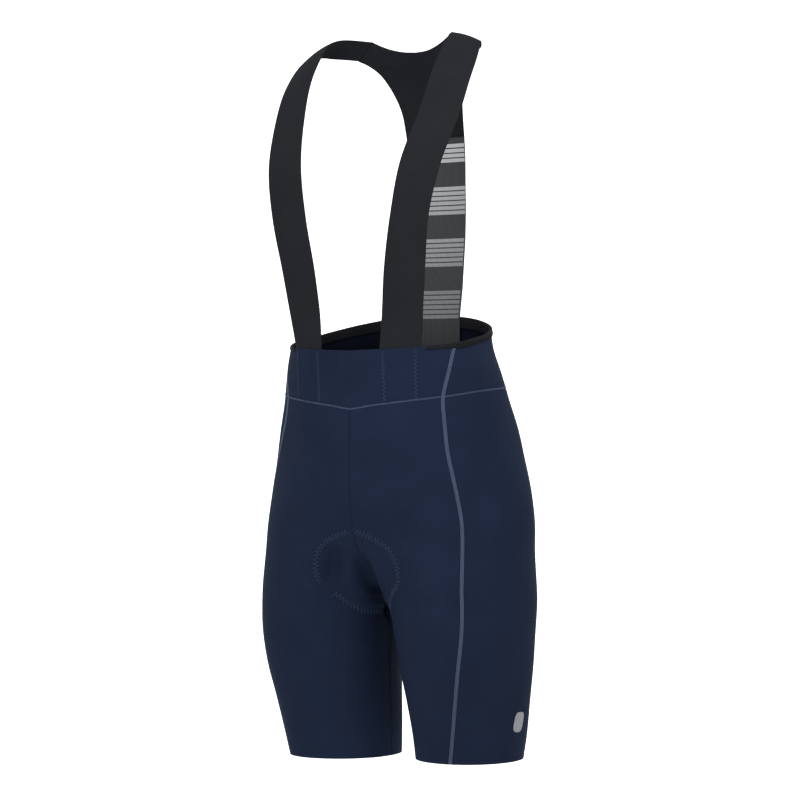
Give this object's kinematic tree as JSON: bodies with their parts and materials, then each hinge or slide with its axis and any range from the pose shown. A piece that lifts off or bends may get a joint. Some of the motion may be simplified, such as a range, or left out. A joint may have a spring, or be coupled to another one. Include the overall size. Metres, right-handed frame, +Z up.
{
  "type": "cycling bib shorts",
  "caption": "Worn-form cycling bib shorts with shoulder straps, back yoke, striped mesh back panel, raised waistband, fitted legs and a seat pad.",
  "frame": {"origin": "midway between the two straps, at the height where they rest on the wearer's shoulders", "axes": "+Z up, +X to the wearer's left, the wearer faces -Y"},
  "size_m": [0.3436, 0.2265, 0.8488],
  "materials": {
    "shorts_knit": "navy warp knit with a soft sheen",
    "elastic_tape": "black ribbed elastic",
    "strap_knit": "charcoal black dense knit, matt",
    "mesh_knit": "dark grey mesh knit with bands of silver lines",
    "pad_foam": "brushed knit over foam"
  },
  "bodies": {
    "root": {"leg_front_left": "shorts_knit", "leg_front_right": "shorts_knit", "leg_back_left": "shorts_knit", "leg_back_right": "shorts_knit", "waistband_front": "shorts_knit", "waistband_back": "shorts_knit", "waist_binding": "elastic_tape", "strap_left": "strap_knit", "strap_right": "strap_knit", "back_yoke": "strap_knit", "back_panel": "mesh_knit", "seat_pad": "pad_foam"}
  },
  "joints": []
}
